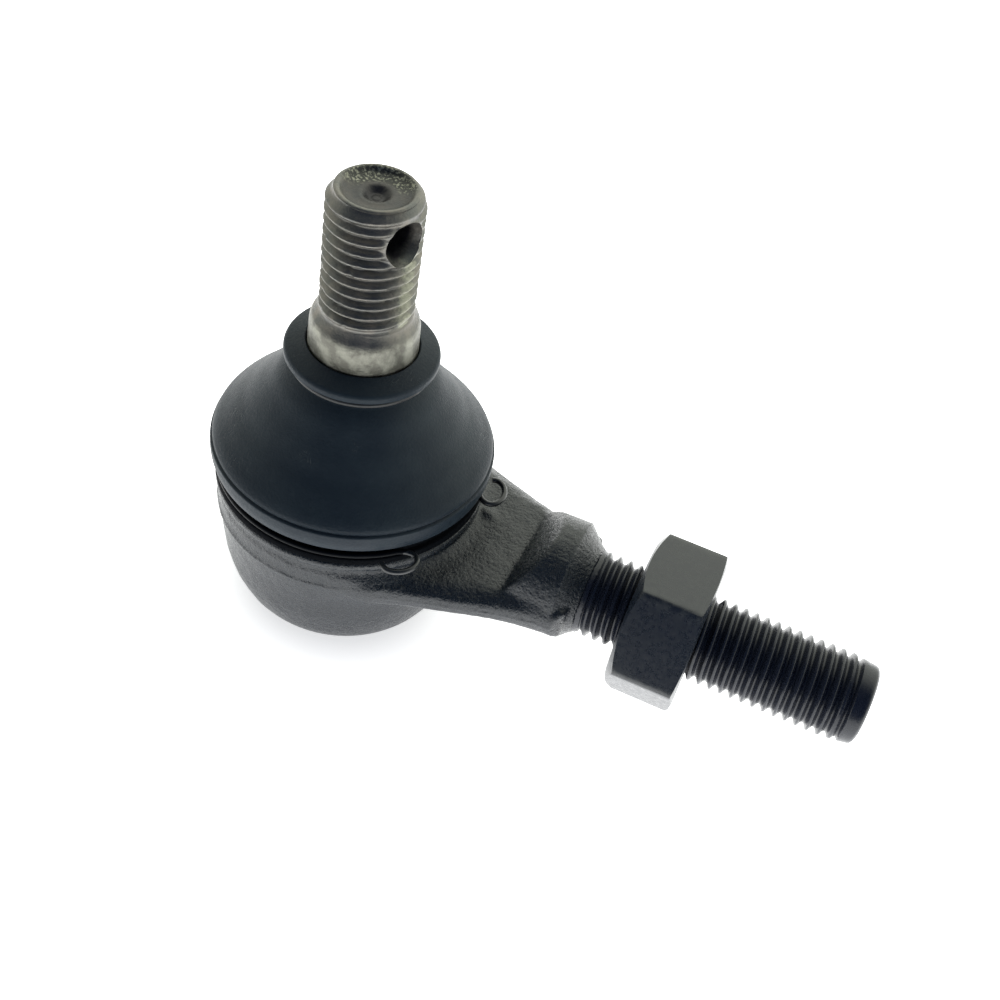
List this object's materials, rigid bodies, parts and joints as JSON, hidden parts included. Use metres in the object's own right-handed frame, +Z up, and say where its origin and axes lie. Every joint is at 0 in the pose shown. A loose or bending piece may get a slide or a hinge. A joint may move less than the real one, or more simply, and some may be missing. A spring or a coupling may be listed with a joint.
{
  "type": "tie rod end",
  "caption": "Tie rod end: a ball stud under a rubber dust boot in a forged socket, with an arm to a male threaded shank and a hexagon jam nut.",
  "frame": {"origin": "middle of the outer face of the closing plate, at the bottom of the socket", "axes": "+Z up along the ball stud, +X along the threaded shank, +Y across the arm"},
  "size_m": [0.0788, 0.0318, 0.0543],
  "materials": {
    "painted_steel": "black paint over a rough forging, satin",
    "bare_steel": "satin bare steel with machining marks",
    "rubber": "matte moulded rubber, blue-black",
    "black_wire": "black phosphated spring wire",
    "black_nut": "black oxide, satin",
    "acetal": "off-white acetal, satin",
    "spring_steel": "tempered spring steel, satin"
  },
  "bodies": {
    "socket": {"housing": "painted_steel", "upper_bearing": "acetal", "lower_bearing": "acetal", "preload_spring": "spring_steel", "closing_plate": "painted_steel", "boot_clip": "black_wire"},
    "boot": {"dust_boot": "rubber"},
    "boot_neck": {"neck_ring": "black_wire"},
    "stud": {"ball_stud": "bare_steel"},
    "nut": {"jam_nut": "black_nut"}
  },
  "joints": [
    {"name": "boot_turn", "type": "hinge", "parent": "socket", "child": "boot", "pos_m": [0, 0, 0.0128], "axis": [0, 0, 1], "continuous": true},
    {"name": "stud_tilt", "type": "hinge", "parent": "boot", "child": "boot_neck", "pos_m": [0, 0, 0.0128], "axis": [0, 1, 0], "range_deg": [-25, 25], "deforming": ["dust_boot"]},
    {"name": "stud_spin", "type": "hinge", "parent": "boot_neck", "child": "stud", "pos_m": [0, 0, 0.0128], "axis": [0, 0, 1], "continuous": true},
    {"name": "nut_travel", "type": "slide", "parent": "socket", "child": "nut", "axis": [1, 0, 0], "range_m": [-0.00375, 0.01875]}
  ]
}
